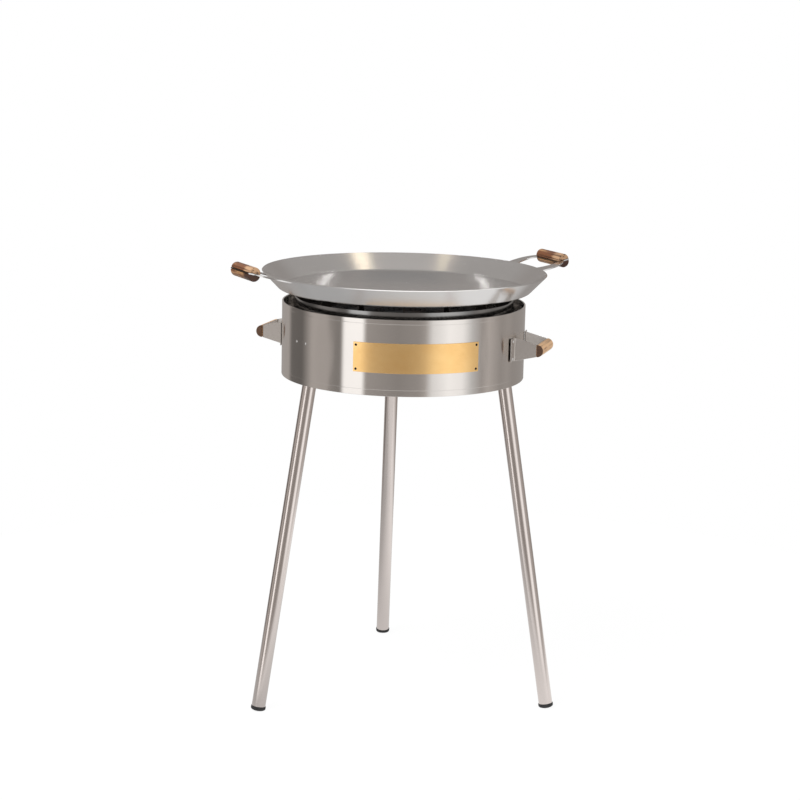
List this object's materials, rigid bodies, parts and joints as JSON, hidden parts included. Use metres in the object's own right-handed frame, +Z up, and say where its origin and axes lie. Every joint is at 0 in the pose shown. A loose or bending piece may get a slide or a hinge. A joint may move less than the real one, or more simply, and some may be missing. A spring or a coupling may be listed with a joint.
{
  "type": "paella pan and burner stand",
  "caption": "Shallow round steel pan with wooden-gripped handles that lifts off a ring gas burner in a round steel wind guard, carried on splayed plug-in tube legs.",
  "frame": {"origin": "centre of the object's footprint box on the floor", "axes": "+Z up, -Y towards the front with the brass plate, +Y towards the back leg, +X to the right seen from the front"},
  "size_m": [0.7068, 0.6442, 0.9006],
  "materials": {
    "pan_steel": "satin polished sheet",
    "stand_steel": "satin polished sheet",
    "leg_steel": "bright drawn tube",
    "dark_steel": "heat-darkened steel",
    "cast_iron": "rough cast",
    "brass_sheet": "polished sheet, bare",
    "brass_fitting": "machined",
    "wood": "oiled hardwood",
    "rubber": "matt moulded",
    "knob_plastic": "moulded"
  },
  "bodies": {
    "stand": {"stand_grip_left": "wood", "stand_handle_left": "stand_steel", "stand_grip_right": "wood", "stand_handle_right": "stand_steel", "housing_band": "stand_steel", "brass_plate": "brass_sheet", "support_ring": "dark_steel", "pan_fin_01": "dark_steel", "pan_fin_02": "dark_steel", "pan_fin_03": "dark_steel", "pan_fin_04": "dark_steel", "pan_fin_05": "dark_steel", "pan_fin_06": "dark_steel", "pan_fin_07": "dark_steel", "pan_fin_08": "dark_steel", "pan_fin_09": "dark_steel", "pan_fin_10": "dark_steel", "pan_fin_11": "dark_steel", "pan_fin_12": "dark_steel", "pan_fin_13": "dark_steel", "pan_fin_14": "dark_steel", "pan_fin_15": "dark_steel", "burner_arm_left": "dark_steel", "leg_bracket_left": "stand_steel", "leg_socket_left": "stand_steel", "burner_arm_right": "dark_steel", "leg_bracket_right": "stand_steel", "leg_socket_right": "stand_steel", "burner_arm_back": "dark_steel", "leg_bracket_back": "stand_steel", "leg_socket_back": "stand_steel", "burner_ring_outer": "cast_iron", "mixer_tube_outer": "dark_steel", "valve_body_outer": "brass_fitting", "burner_ring_inner": "cast_iron", "mixer_tube_inner": "dark_steel", "valve_body_inner": "brass_fitting", "gas_manifold": "brass_fitting", "gas_inlet": "brass_fitting", "manifold_shelf": "stand_steel"},
    "pan": {"pan_bowl": "pan_steel", "pan_handle_left": "pan_steel", "pan_handle_right": "pan_steel", "pan_grip_left_upper": "wood", "pan_grip_left_lower": "wood", "pan_grip_right_upper": "wood", "pan_grip_right_lower": "wood"},
    "valve_knob_outer": {"valve_stem_outer": "stand_steel", "knob_outer": "knob_plastic"},
    "valve_knob_inner": {"valve_stem_inner": "stand_steel", "knob_inner": "knob_plastic"},
    "leg_left": {"leg_tube_left": "leg_steel", "foot_left": "rubber"},
    "leg_right": {"leg_tube_right": "leg_steel", "foot_right": "rubber"},
    "leg_back": {"leg_tube_back": "leg_steel", "foot_back": "rubber"}
  },
  "joints": [
    {"name": "pan_lift", "type": "slide", "parent": "stand", "child": "pan", "axis": [0, 0, 1], "range_m": [0, 0.15]},
    {"name": "knob_outer_turn", "type": "hinge", "parent": "stand", "child": "valve_knob_outer", "pos_m": [0.20718, 0.20616, 0.7515], "axis": [0.7071, 0.7071, 0], "range_deg": [0, 180]},
    {"name": "knob_inner_turn", "type": "hinge", "parent": "stand", "child": "valve_knob_inner", "pos_m": [0.2383, 0.17505, 0.7515], "axis": [0.7071, 0.7071, 0], "range_deg": [0, 180]},
    {"name": "leg_left_pull", "type": "slide", "parent": "stand", "child": "leg_left", "axis": [-0.1474, -0.0851, -0.9854], "range_m": [0, 0.09]},
    {"name": "leg_right_pull", "type": "slide", "parent": "stand", "child": "leg_right", "axis": [0.1474, -0.0851, -0.9854], "range_m": [0, 0.09]},
    {"name": "leg_back_pull", "type": "slide", "parent": "stand", "child": "leg_back", "axis": [0, 0.1702, -0.9854], "range_m": [0, 0.09]}
  ]
}
